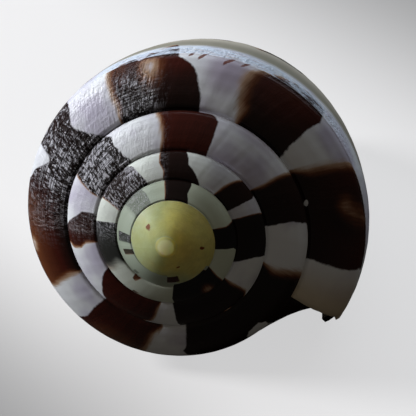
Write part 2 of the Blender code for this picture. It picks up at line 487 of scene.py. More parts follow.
# %% Sections
RAMP_SHARES = np.concatenate((
    (0, 0.012, 0.025, 0.04, 0.06), np.linspace(0.1, 0.9, 17), (0.93, 0.955, 0.98, 1),
))
SIDE_ROWS = 56
END_SHARES = (1.0, 1.8)  # where the relief of the side fades out round the narrow end
END_ROWS = 7
WHORL_WIDTH = 0.36  # length of a ramp over its whorl's radius
STEPS_PER_TURN = 288
LIP_ROUNDING = 0.00016
ROUNDING_STEPS = 1.6
CROWDING = 1.4  # above 1, rows lie closer together near the shoulder


def ramp_section(turn):
    """Points and growth coordinates of the ramp alone."""
    share = RAMP_SHARES
    plain = ramp_points(turn, share)
    whorl = shoulder_point(turn)[0]
    ease = smooth_step(0, 0.08, share)
    lines = relief(turn, share, plain[:, 0], whorl) * (1 - smooth_step(0.92, 1, share))
    lines = ease * (lines - rounded_lip(turn)) + suture_relief(turn, share, whorl)
    points = moved_out(ramp_points, turn, share, lines)
    points[:, 1] += dome(plain[:, 0])
    return in_space(points, turn, ramp_lead(share)), share, 0 * share


def side_shares():
    rows = np.arange(SIDE_ROWS + END_ROWS + 1)
    down = (np.minimum(rows, SIDE_ROWS) / SIDE_ROWS) ** CROWDING
    return down + np.maximum(rows - SIDE_ROWS, 0) / END_ROWS


def rounded_lip(turn):
    """How far the growing edge has sunk in where it rounds over."""
    near = max(0, 1 + turn * STEPS_PER_TURN / ROUNDING_STEPS)
    return LIP_ROUNDING * (1 - math.sqrt(1 - near * near))


def whole_section(turn):
    """The outside of the last whorl, from the suture to the tip of the narrow end."""
    ramp, across, down = ramp_section(turn)
    share = side_shares()
    plain = side_points(turn, share)
    whorl = shoulder_point(turn)[0]
    run = np.concatenate(((0,), np.cumsum(np.linalg.norm(np.diff(plain, axis=0), axis=1))))
    side_across = 1 + run / (WHORL_WIDTH * whorl)
    ease = plateau(0, 0.02, *END_SHARES, share)
    height = relief(turn, side_across, plain[:, 0], whorl) * ease
    height = height - rounded_lip(turn) * (1 - smooth_step(*END_SHARES, share))
    side = in_space(moved_out(side_points, turn, share, height), turn, side_lead(plain))
    side[-1, :2] = 0
    return (
        np.concatenate((ramp[:-1], side)),
        np.concatenate((across[:-1], side_across)),
        np.concatenate((down[:-1], share)),
    )


print("a section of the last whorl has", len(whole_section(-0.5)[0]), "points")

# %% [markdown]
# ## The hollow
#
# The animal lived behind the slit of the aperture. Its room has the same section as the whorl, moved in
# by the wall's thickness, and its inner wall is the whorl before it under a thin glaze. It runs back for
# three quarters of a turn, past all that can be seen through the slit, and is sealed there.

# %% Sections of the hollow
# These are shares along the curves. A pair gives the share at the lip, and the one further inside.
RAMP_FROM = (0.5, 0.16)
RAMP_TO = 0.88
SIDE_FROM = 0.035
INNER_FROM = (0.12, 0.06)
SIDE_TO = (1.0, 0.74)
TIP_TO = (1.4, 0.80)
INNER_TIP = 0.95
HOLLOW_SHRINK_TURNS = 0.25
THICKENING_TURNS = 0.125
HOLLOW_ROWS = (10, 34, 6)  # along the ramp, down the side, round the end


def hollow_shares(start, side_to, tip_to):
    side_rows, end_rows = HOLLOW_ROWS[1:]
    down = start + (side_to - start) * (np.arange(side_rows + 1) / side_rows) ** CROWDING
    return np.concatenate((down, side_to + (tip_to - side_to) * np.arange(1, end_rows + 1) / end_rows))


def hollow_section(turn):
    """The closed loop of the hollow's wall: along the ramp, down the outer wall, up the inner one."""
    corner = math.exp(2 * math.pi * turn / CORNER_SPREAD)
    mouth = smooth_step(-HOLLOW_SHRINK_TURNS, 0, turn)
    ramp_from, inner_from = (
        inside + (at_lip - inside) * corner for at_lip, inside in (RAMP_FROM, INNER_FROM)
    )
    side_to, tip_to = (inside + (at_lip - inside) * mouth for at_lip, inside in (SIDE_TO, TIP_TO))
    wall = LIP_WALL + (WALL - LIP_WALL) * smooth_step(0, THICKENING_TURNS, -turn)
    ramp = np.linspace(ramp_from, RAMP_TO, HOLLOW_ROWS[0])
    outer = hollow_shares(SIDE_FROM, side_to, tip_to)
    inner = hollow_shares(inner_from, side_to, INNER_TIP * tip_to)[-2:0:-1]
    points = np.concatenate((
        in_space(moved_out(ramp_points, turn, ramp, -wall), turn, ramp_lead(ramp)),
        in_space(moved_out(side_points, turn, outer, -wall), turn, side_lead(side_points(turn, outer))),
        in_space(moved_out(side_points, turn - 1, inner, GLAZE), turn),
    ))
    down = np.concatenate((0 * ramp, outer, inner))
    across = np.concatenate((ramp, 1 + 6 * outer, 1 + 6 * inner))
    return points, across, down


print("a section of the hollow has", len(hollow_section(-0.2)[0]), "points")


# %% Grow the strips
def extruded(shell, edges):
    """Extrudes a chain of edges, and gives the new vertices and the new chain."""
    grown = bmesh.ops.extrude_edge_only(shell, edges=edges)["geom"]
    verts = {item for item in grown if isinstance(item, bmesh.types.BMVert)}
    chain = [item for item in grown if isinstance(item, bmesh.types.BMEdge)]
    return verts, [edge for edge in chain if verts.issuperset(edge.verts)]


def grow(shell, section, turns, closed=False):
    """Lays the first section down as a chain of edges, and extrudes it to each section after it."""
    row_of = shell.verts.layers.int["row"]
    growth_of = shell.verts.layers.float_vector["growth"]
    points, across, down = section(turns[0])
    chain = [shell.verts.new(point) for point in points]
    for row, vert in enumerate(chain):
        vert[row_of] = row
        vert[growth_of] = (turns[0], across[row], down[row])
    edges = [shell.edges.new(pair) for pair in zip(chain, chain[1:])]
    if closed:
        edges.append(shell.edges.new((chain[-1], chain[0])))
    for turn in turns[1:]:
        points, across, down = section(turn)
        verts, edges = extruded(shell, edges)
        for vert in verts:
            row = vert[row_of]
            vert.co = points[row]
            vert[growth_of] = (turn, across[row], down[row])
    return edges


def strip(section, turns, closed=False, seal=False):
    """One strip as a mesh of its own, with the growth coordinates on its face corners."""
    piece = bmesh.new()
    piece.verts.layers.int.new("row")
    growth_of = piece.verts.layers.float_vector.new("growth")
    end = grow(piece, section, turns, closed)
    if seal:
        bmesh.ops.contextual_create(piece, geom=end)
    painted = piece.loops.layers.float_vector.new("growth_at")
    inside = piece.loops.layers.float.new("inside")
    for face in piece.faces:
        for loop in face.loops:
            loop[painted] = loop.vert[growth_of]
            loop[inside] = float(closed)
    made = bpy.data.meshes.new("strip")
    piece.to_mesh(made)
    piece.free()
    return made


HOLLOW_STEPS_PER_TURN = 150


def steps(first, last, per_turn):
    return np.linspace(first, last, round(abs(last - first) * per_turn) + 1)


strips = [
    strip(ramp_section, steps(-SPIRE_TURNS, -1, STEPS_PER_TURN)),
    strip(whole_section, steps(-1, 0, STEPS_PER_TURN)),
    strip(hollow_section, steps(0, -HOLLOW_TURNS, HOLLOW_STEPS_PER_TURN), closed=True, seal=True),
]
print("strips have", [len(item.polygons) for item in strips], "faces")

# %% [markdown]
# ## Closing the shell
#
# The strips are joined and their shared edges merged. A small round nipple closes the start of the
# spire, ring by ring. bmesh.ops.triangle_fill lays the thin edge of the lip between the outside and the
# hollow, because it fills a narrow, curved gap that a single face would fold across.

# %% Join and close
NIPPLE_HEIGHT = 0.00016
NIPPLE_RINGS = ((0.93, 0.42), (0.8, 0.70), (0.6, 0.88), (0.35, 0.97))

shell = bmesh.new()
for item in strips:
    shell.from_mesh(item)
bmesh.ops.remove_doubles(shell, verts=shell.verts, dist=2e-6)
growth_of = shell.verts.layers.float_vector["growth"]
painted = shell.loops.layers.float_vector["growth_at"]
laid = set(shell.faces)


def cap_nipple():
    """Closes the start of the spire with rings that shrink and rise to a point."""
    start = shoulder_point(-SPIRE_TURNS)
    start[1] += dome(start[0])
    lowest = 3 * start[1]  # keeps out the narrow end, which meets the axis too
    near = {vert for vert in shell.verts if vert.co.xy.length < 1.05 * start[0] and vert.co.z > lowest}
    rim = [edge for edge in shell.edges if edge.is_boundary and near.issuperset(edge.verts)]
    print("rim of the nipple:", len(rim), "edges at", round(1000 * start[1], 2), "mm")
    for scale, rise in NIPPLE_RINGS:
        verts, rim = extruded(shell, rim)
        for vert in verts:
            level = start[1] + rise * NIPPLE_HEIGHT
            vert.co = (vert.co.xy.normalized() * scale * start[0]).to_3d() + Vector((0, 0, level))
    top = extruded(shell, rim)[0]
    bmesh.ops.pointmerge(shell, verts=list(top), merge_co=(0, 0, start[1] + NIPPLE_HEIGHT))
    for vert in shell.verts:
        if vert.co.xy.length < 0.97 * start[0] and vert.co.z > start[1]:
            vert[growth_of] = (-SPIRE_TURNS, 0.5, 0)


cap_nipple()
across_lip = Vector((math.cos(LIP_ANGLE), math.sin(LIP_ANGLE), 0)).cross(Vector((0, 0, 1)))
from_axis = shell.verts.layers.float.new("from_axis")
for vert in shell.verts:
    vert[from_axis] = vert.co.xy.length
open_edges = [edge for edge in shell.edges if edge.is_boundary]
print("edge of the lip:", len(open_edges), "edges")
bmesh.ops.triangle_fill(shell, edges=open_edges, normal=across_lip, use_beauty=True)
for face in set(shell.faces) - laid:
    for loop in face.loops:
        loop[painted] = loop.vert[growth_of]
bmesh.ops.dissolve_degenerate(shell, edges=shell.edges, dist=1e-7)
bmesh.ops.recalc_face_normals(shell, faces=shell.faces)
print("open edges left:", sum(edge.is_boundary for edge in shell.edges))
print("faces:", len(shell.faces))

# %% [markdown]
# ## Laying the shell down
#
# An empty shell can't stand. It rolls onto its aperture and rests on the lip and the side of the body,
# with the narrow end a little off the table. Two turns bring it there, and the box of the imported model
# says where the table is. The object itself stays at the origin, with its place in its mesh.

# %% Rest on the table
REST_ROLL = math.radians(-2.59)
REST_TIP = math.radians(-11.60)
SHARP_ANGLE = math.radians(48)

tip = Matrix.Rotation(REST_TIP + math.pi / 2, 4, "X")
roll = Matrix.Rotation(REST_ROLL, 4, "Z")
bmesh.ops.transform(shell, matrix=tip @ roll, verts=shell.verts)
places = np.array([vert.co for vert in shell.verts])
low, high = places.min(axis=0), places.max(axis=0)
solid_low, solid_high = (np.array(corner) for corner in solid_box)
shift = (solid_low + solid_high - low - high) / 2
shift[2] = solid_low[2] - low[2]
bmesh.ops.translate(shell, vec=Vector(shift), verts=shell.verts)
shell_data = bpy.data.meshes.new("cone_shell")
shell.to_mesh(shell_data)
shell.free()
shell_data.shade_smooth()
shell_data.set_sharp_from_angle(angle=SHARP_ANGLE)
cone_shell = put("cone_shell", shell_data)
shell_data.calc_loop_triangles()
print(len(shell_data.loop_triangles), "triangles,", (high - low) * 1000, "mm")

# %% [markdown]
# ## The markings
#
# The mantle lays dark pigment on a white shell in blotches. A blotch starts softly, in brown, on the
# side that grew first, darkens to black, and stops sharply. Each one is an outline of a few corners in
# growth coordinates: degrees back from the lip, and the share of the way across the ramp. Numbers above
# 1 reach over the shoulder. The material holds no picture: every corner of a face gets its distance to
# the nearest outline, and the material turns that distance into a crisp or ragged edge.

# %% Blotches of the last whorl
LIP_BEYOND = 1.25  # degrees that the lip has grown past the zero of the outlines
# Each has its fade on the older side (over the whorl's radius), how brown it is at the suture and at
# the shoulder, its strength, and its outline.
LAST_WHORL = [
    (0.11, 0.1, 0.9, 1.0, (
        (17.5, 0), (18, 0.07), (17.2, 0.26), (16.2, 0.46), (16.1, 0.68), (16.8, 0.9), (18.3, 1.04),
        (21, 1.08), (27, 1.03), (41, 1.0), (47, 0.97), (53, 0.92), (55, 0.75), (57, 0.5), (59, 0.25),
        (60, 0),
    )),
    (0.15, 0.0, 1.0, 1.0, (
        (66.5, 0), (68.5, 0.2), (69, 0.5), (68, 0.75), (69.5, 1), (70, 1.3), (79, 1.34), (87, 1.22),
        (93, 1.02), (97, 0.89), (99.5, 0.75), (100.5, 0.5), (99.5, 0.28), (95, 0.08), (93.5, 0),
    )),
    (0.08, 0.0, 0.8, 1.0, (
        (110, 0), (111, 0.22), (113, 0.4), (114.5, 0.55), (117, 0.68), (121, 0.84), (121.5, 1),
        (122, 1.35), (124, 1.66), (128, 1.5), (131.5, 1.22), (133, 1.0), (134.3, 0.9), (135.3, 0.93),
        (136.5, 1.1), (138, 1.18), (142, 1.06), (148, 0.96), (149, 0.7), (149.5, 0.4), (149, 0.2),
        (149, 0),
    )),
    (0.09, 0.1, 0.5, 1.0, (
        (158.5, 0), (161, 0.08), (164.8, 0.21), (168.6, 0.43), (167, 0.58), (165.4, 0.70), (164.8, 0.9),
        (166, 1.2), (168, 1.5), (181.5, 1.5), (182.5, 1.05), (183.2, 0.8), (184, 0.54), (186, 0.47),
        (188, 0.54), (192.3, 0.77), (196, 0.90), (200, 1.5), (235, 1.5), (241, 1), (242, 0.75),
        (241, 0.5), (240, 0.25), (238.5, 0),
    )),
    (0.10, 0.6, 1.1, 1.0, (
        (257.5, 0), (257, 0.3), (258, 0.55), (256, 0.9), (257, 1.3), (286, 1.3), (287, 1), (288.5, 0.75),
        (290, 0.5), (291.5, 0.25), (294.5, 0.06), (293, 0),
    )),
    (0.14, 0.1, 0.2, 1.0, (
        (307, 0), (305, 0.5), (303.3, 0.6), (304.5, 0.8), (309, 0.93), (311, 1.2), (332, 1.2), (333, 1.0),
        (332.5, 0.8), (335, 0.66), (341, 0.6), (343.5, 0.75), (343, 1.0), (343, 1.3), (346, 2.1),
        (387, 2.1), (375, 1.0), (374, 0.95), (374.5, 0.5), (374.5, 0.25), (374, 0),
    )),
]
print(len(LAST_WHORL), "blotches on the last whorl")

# %% Blotches of the older whorls
SECOND_WHORL = [
    (0.06, 0.1, 0.3, 1.0, (
        (396.5, 0), (397, 0.25), (396.8, 0.5), (395, 0.75), (394.5, 0.93), (388, 0.965), (372, 0.965),
        (371, 1), (419.5, 1), (422, 0.5), (422.5, 0),
    )),
    (0.09, 0.9, 1.0, 1.0, (
        (458.5, 0), (459, 0.35), (459.5, 0.6), (460, 0.75), (462, 0.9), (465, 1), (492, 1), (490, 0.5),
        (490, 0),
    )),
    (0.03, 0.1, 0.1, 0.95, (
        (510, 0), (513.5, 0.25), (516, 0.5), (515.3, 0.75), (519, 1), (543.5, 1), (544.5, 0.75),
        (545.5, 0.5), (547, 0.25), (546, 0),
    )),
    (0.05, 0.5, 0.9, 0.95, (
        (558, 0), (559, 0.2), (560, 0.35), (564, 0.5), (567.7, 0.75), (571, 1), (581, 1), (584, 0.7),
        (584, 0.45), (581, 0.3), (580, 0),
    )),
    (0.06, 0.8, 0.9, 1.0, (
        (600, 0), (604, 0.25), (610.5, 0.5), (614.5, 0.75), (619, 1), (643, 1), (648, 0.75), (650, 0.5),
        (652, 0),
    )),
    (0.07, 0.1, 0.2, 1.0, (
        (661, 0), (662, 0.3), (662.3, 0.6), (664, 1), (709.5, 1), (713.5, 0.75), (714.5, 0.5),
        (714, 0.25), (713, 0),
    )),
]
THIRD_WHORL = [
    (0.02, 0.1, 0.1, 1.0, (
        (729, 0), (733.5, 0.25), (736.5, 0.5), (738, 1), (766, 1), (767, 0.8), (768.5, 0.4), (769.5, 0),
    )),
    (0.05, 0.1, 0.3, 1.0, (
        (778, 0), (777.5, 0.5), (777, 0.8), (778.5, 1), (791, 1), (793.5, 0.75), (796, 0.5), (798, 0.25),
        (798, 0),
    )),
    (0.03, 0.1, 0.2, 0.97, (
        (813, 0), (819, 0.2), (828, 0.45), (831, 0.9), (832, 1), (850, 1), (851, 0.5), (848, 0.25),
        (848.5, 0),
    )),
    (0.03, 0.1, 0.1, 0.92, (
        (862, 0), (866, 0.25), (869, 0.5), (871, 0.75), (876, 1), (905, 1), (904, 0.5), (904.5, 0),
    )),
    (0.20, -0.2, -0.1, 0.96, ((917, 0), (921, 0.5), (923, 1), (966, 1), (968, 0.5), (964, 0))),
    (0.04, 0.0, 0.1, 1.0, ((1024, 0), (1021.5, 0.5), (1022.5, 1), (1070.5, 1), (1072.5, 0.5), (1077, 0))),
    (0.03, 0.0, 0.0, 1.0, ((1101, 0), (1103, 0.75), (1101, 1), (1129, 1), (1126, 0.5), (1128, 0))),
    (0.05, -0.1, -0.1, 0.7, ((987, 0.7), (986, 0.95), (992, 0.97), (993, 0.7))),
    (0.05, 0.0, 0.0, 0.7, ((978, 0.02), (979, 0.22), (984, 0.25), (987, 0.03))),
]
FOURTH_WHORL = [
    (0.03, 0.1, 0.1, 0.97, (
        (1175, 0), (1180.5, 0.35), (1180, 0.8), (1181, 1), (1207.5, 1), (1207, 0.5), (1207, 0),
    )),
    (0.10, -0.2, -0.2, 0.45, ((1226, 0), (1228, 0.5), (1232, 1), (1258, 1), (1258, 0))),
    (0.03, -0.2, -0.2, 0.9, ((1284, 0), (1284, 0.85), (1296, 0.85), (1297, 0))),
    (0.03, -0.1, -0.1, 0.85, ((1305, 0), (1305, 0.7), (1313, 0.66), (1314, 0))),
    (0.03, -0.2, -0.2, 0.6, ((1334, 0.7), (1333, 0.95), (1340, 0.95), (1341, 0.72))),
    (0.02, 0.9, 0.9, 1.0, ((1378, 0.12), (1377, 0.64), (1395, 0.62), (1396, 0.1))),
    (0.02, 0.0, 0.0, 1.0, ((1385, 0.84), (1385, 1), (1431, 1), (1430, 0.8), (1398, 0.78))),
]
SPIRE_BLOTCHES = LAST_WHORL + SECOND_WHORL + THIRD_WHORL + FOURTH_WHORL
print(len(SPIRE_BLOTCHES), "blotches on the spire")

# %% [markdown]
# ## Rows of blotches down the body
#
# Below the shoulder the same pigment makes rows of squarish blotches, a row of white between each two.
# They are alike but never equal, so a seeded generator moves their corners a little. Seeding it makes
# the shell come out the same every time.

# %% Blotches of the body
BODY_ROWS = (  # share of the side where a row starts and ends, blotches in a turn, first one's degrees
    (0.31, 0.45, 11, 12),
    (0.50, 0.64, 10, 30),
    (0.70, 0.82, 9, 8),
    (0.90, 1.02, 7, 25),
)
BLOTCH_SHARE = 0.62  # of the way from one blotch to the next
DARK_TOOTH = ((-20, 0.05), (-20, 0.17), (4, 0.16), (5, 0.06))  # under the corner of the lip
dice = np.random.default_rng(11)
body_blotches = []
for start, end, count, first in BODY_ROWS:
    pitch = 360 / count
    for number in range(count):
        newer = first + pitch * (number + dice.uniform(-0.12, 0.12))
        older = newer + pitch * (BLOTCH_SHARE + dice.uniform(-0.14, 0.12))
        middle = (start + end) / 2
        wobble = dice.uniform(-1, 1, 8)
        corners = (
            (newer + 2 * wobble[0], start + 0.02 * wobble[1]),
            (newer - 2, middle),
            (newer + 3 * wobble[2], end + 0.02 * wobble[3]),
            ((newer + older) / 2, end - 0.012),
            (older + 3 * wobble[4], end + 0.02 * wobble[5]),
            (older + 1, middle),
            (older + 3 * wobble[6], start + 0.02 * wobble[7]),
            ((newer + older) / 2, start + 0.010),
        )
        body_blotches.append((0.10, 0.3, 0.3, 1.0, corners))
body_blotches.append((0.0, 0.0, 0.0, 1.0, DARK_TOOTH))
print(len(body_blotches), "blotches on the body")


# %% Distance to an outline
def sides_of(outline):
    return zip(outline, outline[1:] + outline[:1])


def signed_distance(degrees, across, outline, per_degree, per_across):
    """Distance to the outline over the whorl's radius: positive inside, negative outside."""
    inside = np.zeros(len(degrees), bool)
    nearest = np.full(len(degrees), 9.0)
    for (x0, y0), (x1, y1) in sides_of(outline):
        ax, ay = (x0 - degrees) * per_degree, (y0 - across) * per_across
        bx, by = (x1 - degrees) * per_degree, (y1 - across) * per_across
        dx, dy = bx - ax, by - ay
        along = np.clip(-(ax * dx + ay * dy) / np.maximum(dx * dx + dy * dy, 1e-12), 0, 1)
        nearest = np.minimum(nearest, np.hypot(ax + along * dx, ay + along * dy))
        crosses = (y0 > across) != (y1 > across)
        if y1 != y0:
            inside ^= crosses & (degrees < x0 + (across - y0) / (y1 - y0) * (x1 - x0))
    return np.where(inside, nearest, -nearest)


def older_side(across, outline):
    """Degrees of the outline's older side at each height across the whorl."""
    found = np.full(len(across), min(x for x, _ in outline), float)
    for (x0, y0), (x1, y1) in sides_of(outline):
        if y0 != y1:
            hit = (np.minimum(y0, y1) <= across) & (across <= np.maximum(y0, y1))
            found = np.where(hit, np.maximum(found, x0 + (across - y0) / (y1 - y0) * (x1 - x0)), found)
    return found


square = ((0, 0), (0, 1), (10, 1), (10, 0))
print("middle of a test square:", signed_distance(np.array([5.0]), np.array([0.5]), square, 0.1, 1.0))

# %% Paint the corners of the faces
corner_count = len(shell_data.loops)
growth = np.empty(corner_count * 3, np.float32)
shell_data.attributes["growth_at"].data.foreach_get("vector", growth)
turn_at, across_at, down_at = growth.reshape(-1, 3).T.astype(float)
degrees_at = -360 * turn_at - LIP_BEYOND
edge = np.full(corner_count, -1.0)
density = np.zeros(corner_count)
brown = np.zeros(corner_count)
REACH = 0.25  # how far from an outline its distance still matters, over the whorl's radius
REACH_DEGREES = 25
SIDE_LENGTH = 2.45  # of the body, from the shoulder to the narrow end, over the whorl's radius


def past_sutures(outline):
    """The outline with each side that lies on a suture pushed beyond it, so that no edge shows there."""
    corners = []
    for (x0, y0), (x1, y1) in sides_of(outline):
        corners.append((x0, y0))
        if y0 == y1 == 0:
            corners += [(x0, -0.3), (x1, -0.3)]
        elif y0 == y1 == 1 and x0 > 360:
            corners += [(x0, 1.3), (x1, 1.3)]
    return tuple(corners)


def paint(blotches, heights, per_degree, per_height, where):
    """Gives each corner the distance, the density and the brown of the blotch that it is deepest in."""
    for fade, brown_in, brown_out, strength, outline in blotches:
        outline = past_sutures(tuple(outline))
        xs, ys = zip(*outline)
        near = where & (degrees_at > min(xs) - REACH_DEGREES) & (degrees_at < max(xs) + REACH_DEGREES)
        near &= (heights > min(ys) - REACH / per_height) & (heights < max(ys) + REACH / per_height)
        spots = np.flatnonzero(near)
        scale = per_degree[spots]
        gap = signed_distance(degrees_at[spots], heights[spots], outline, scale, per_height)
        better = gap > edge[spots]
        spots, gap, scale = spots[better], gap[better], scale[better]
        age = (older_side(heights[spots], outline) - degrees_at[spots]) * scale
        soft = fade * (0.35 + 0.65 * smooth_step(0, 0.25, heights[spots]))
        edge[spots] = gap
        density[spots] = strength * (smooth_step(-0.01, soft, age) if fade else 1.0)
        out = smooth_step(min(ys), min(max(ys), 1.2), heights[spots])
        brown[spots] = brown_in + (brown_out - brown_in) * out


on_body = across_at > 1.0
# The girth is a place's distance from the axis over the whorl's radius.
girth = np.where(on_body, 1.04 - 0.78 * np.clip(down_at, 0, 1) ** 1.2, 0.70 + 0.30 * across_at)
paint(SPIRE_BLOTCHES, across_at, math.radians(1) * girth, WHORL_WIDTH, across_at < 2.5)
paint(body_blotches, down_at, math.radians(1) * girth, SIDE_LENGTH, on_body)
print("dark share of the corners:", round(float((edge > 0).mean()), 2))

# %% [markdown]
# ## Pale, brown and lilac patches
#
# Some blotches thin out to a brownish grey, most of all next to the rim. Others are browner in part, and
# the white between them turns lilac here and there: partly its own tone, and partly painted shade on
# whites of the side that the window lights less. None of this has an edge, so each patch is an oval
# that fades away from its middle.

# %% Patches
PALE_PATCHES = (  # degrees, across, half-width in degrees, half-height, strength
    (35.8, 0.66, 4.2, 0.17, 0.34),
    (33.6, 0.88, 3.6, 0.16, 0.34),
    (222, 0.84, 4, 0.16, 0.8),
    (131.4, 0.68, 4.4, 0.28, 0.78),
    (39.5, 0.52, 3.5, 0.12, 0.45),
    (695, 0.90, 2.5, 0.05, 0.9),
    (1056, 0.65, 5, 0.25, 0.6),
)
BROWNER = (  # the same, for pigment that is browner
    (121, 0.72, 8, 0.24, 0.35),
    (143, 0.80, 5, 0.30, 0.8),
    (82, 0.60, 10, 0.30, 0.4),
    (272, 0.65, 12, 0.30, 0.5),
    (36, 0.75, 9, 0.45, -0.45),
)
LILAC_AND_SHADE_PATCHES = (  # the same, for white that is greyer and more lilac, partly its own tone and partly painted shade
    (103, 0.64, 9, 0.40, 1.0),
    (440, 0.88, 12, 0.30, 0.7),
    (46, 0.70, 6, 0.40, 0.3),
)
REDDISH_FROM = (190, 205)  # degrees where a blotch turns red-brown, most of all near the shoulder
REDDISH_TO = 245


def from_middle(middle, height, half_width, half_height):
    """Squared distance from the middle of an oval, where 1 is its edge."""
    return ((degrees_at - middle) / half_width) ** 2 + ((across_at - height) / half_height) ** 2


for *oval, strength in PALE_PATCHES:
    density *= 1 - strength * np.exp(-from_middle(*oval))
reddish = smooth_step(*REDDISH_FROM, degrees_at) * (degrees_at < REDDISH_TO)
reddish *= smooth_step(0.05, 0.35, across_at)
brown += reddish * (0.7 + 0.7 * np.clip(across_at, 0, 1.3))
for *oval, amount in BROWNER:
    brown += amount * np.exp(-from_middle(*oval) ** 2)
lilac_and_painted_shade = sum(amount * np.exp(-from_middle(*oval) ** 2) for *oval, amount in LILAC_AND_SHADE_PATCHES)
print(len(PALE_PATCHES + BROWNER + LILAC_AND_SHADE_PATCHES), "patches")

# %% [markdown]
# ## Cap, skin, painted sparkle and painted glint
#
# The tip of the spire has lost its outer layer and shows the olive yellow one beneath. That cap ends
# along a suture, and for a short way across a whorl. One sector of the spire, and the line along the
# shoulder, keep a dry, wrinkled skin. In that sector white flecks are painted over the blotches, a
# painted highlight that stands for the window's glints on the wrinkles, and pale streaks along part of
# the shoulder are a painted reflection of the bright sky. Each of these becomes a field of its own on
# the corners of the faces, for the material to read.

# %% Fields for the material
CAP_OUTLINE = (
    (1376, -1), (1378, 0), (1384, 0.5), (1394, 0.77), (1437, 0.81), (1439, 2), (3000, 2), (3000, -1),
)
CAP_SEARCH = 1340  # degrees: the cap is nowhere nearer to the lip
CAP_GIRTH = 0.85  # mean radius of a ramp over the whorl's radius
CAP_GAP = (1665, 1.0, 45, 0.5)  # an oval in which the cap is missing
SECTOR = (122, 142, 198, 228)  # degrees where the skin and its painted sparkle come in and go out, in every turn
SHOULDER_SKIN = (0.84, 0.95, 1.2, 1.5)  # the same across the whorl, for the line along the shoulder
LAST_DRY_SHOULDER = 345  # degrees
FULL_RIM = 155  # degrees: nearer to the lip than this, little sparkle is painted next to the shoulder
GLINT_BAND_SHARES = (0.95, 1.01, 1.35, 1.55)
GLINT_BAND_DEGREES = (36, 84, 146, 160)
SPARKLE_AMOUNTS = (  # degrees, how much sparkle is painted
    (0, 0.5), (150, 0.55), (158, 1.1), (192, 1.0), (206, 0.25), (240, 0), (500, 0.9), (510, 1.6),
    (556, 1.5), (562, 0.35), (600, 0), (860, 1.3), (900, 1.5), (930, 0.4), (950, 0), (1180, 0.8),
    (1270, 0.8), (1300, 0.4),
)

cap = np.full(corner_count, -1.0)
old = np.flatnonzero(degrees_at > CAP_SEARCH)
per_degree = math.radians(CAP_GIRTH)
cap[old] = signed_distance(degrees_at[old], across_at[old], CAP_OUTLINE, per_degree, WHORL_WIDTH)
cap -= 0.4 * np.exp(-from_middle(*CAP_GAP))


def store(name, values):
    """Keeps one number for every corner, under a name that an attribute node can ask for."""
    kept = shell_data.attributes.new(name, "FLOAT", "CORNER")
    kept.data.foreach_set("value", values.astype(np.float32))


store("edge", edge)
store("pigment", density)
store("brown", brown)
store("cap", cap)
store("lilac_and_painted_shade", lilac_and_painted_shade)

sector = plateau(*SECTOR, degrees_at % 360)
along_shoulder = plateau(*SHOULDER_SKIN, across_at) * (degrees_at < LAST_DRY_SHOULDER)
store("wrinkled", np.maximum(sector * (across_at < 1.3), along_shoulder))
# painted highlight: where pale specks stand for the window's glints on the wrinkled skin
sparkle_share = sector * np.interp(degrees_at, *zip(*SPARKLE_AMOUNTS)) * (1 - smooth_step(1.0, 1.15, across_at))
sparkle_share *= 1 - 0.9 * smooth_step(0.5, 0.8, across_at) * (degrees_at < FULL_RIM)
store("sparkle_share", sparkle_share)
# painted reflection: the band along the shoulder where streaks of a sky glint are painted
store("painted_glint_band", plateau(*GLINT_BAND_SHARES, across_at) * plateau(*GLINT_BAND_DEGREES, degrees_at))
print("painted", corner_count, "corners")

# %% [markdown]
# ## The shell's material
#
# One material does it all, because a shell is one stuff with different pigments. Attribute nodes bring
# in the fields that were painted, noise in growth coordinates frays them, and mix nodes lay white,
# tan, red-brown and black over each other. Four more helpers keep its code short.

# %% More node helpers
porcelain = bpy.data.materials.new("cone shell")
nodes, links = open_tree(porcelain)
shader = nodes["Principled BSDF"]


def field(name, output="Fac"):
    attribute = nodes.new("ShaderNodeAttribute")
    attribute.attribute_name = name
    return attribute.outputs[output]


def sway(value, pattern, amount):
    """A value that a pattern around one half moves up and down."""
    return maths("MULTIPLY_ADD", maths("SUBTRACT", pattern, 0.5), amount, value)


def noise(vector, scale, detail=2.0, roughness=0.5):
    node = nodes.new("ShaderNodeTexNoise")
    fill(node, {"Vector": vector, "Scale": scale, "Detail": detail, "Roughness": roughness})
    return node.outputs["Fac"]


def vector_of(*parts):
    node = nodes.new("ShaderNodeCombineXYZ")
    for socket, value in zip(node.inputs, parts):
        feed(socket, value)
    return node.outputs[0]


print("the shell's material starts with", len(nodes), "nodes")

# %% Growth lines, threads and grain
apart = nodes.new("ShaderNodeSeparateXYZ")
feed(apart.inputs[0], field("growth_at", "Vector"))
turn_field, across_field, down_field = apart.outputs
slanted = maths("MULTIPLY_ADD", across_field, -GROWTH_SLANT, turn_field)
growth_vector = vector_of(slanted, across_field, down_field)
place = nodes.new("ShaderNodeTexCoord").outputs["Object"]


def growth_noise(repeats, detail=3.0, roughness=0.6):
    """Noise with so many repeats in a turn, across a ramp and down the side."""
    return noise(vector_maths("MULTIPLY", "Vector", growth_vector, repeats), 1.0, detail, roughness)


growth_lines = growth_noise((240, 2.2, 7))
wrinkles = growth_noise((330, 9, 26), roughness=0.65)
thread_lines = growth_noise((9, 26, 90), 2.0, 0.5)
grain = noise(place, 3200.0, 2.0, 0.6)
clouds = noise(place, 260.0, 3.0, 0.5)
print("noise made of", len(nodes), "nodes so far")

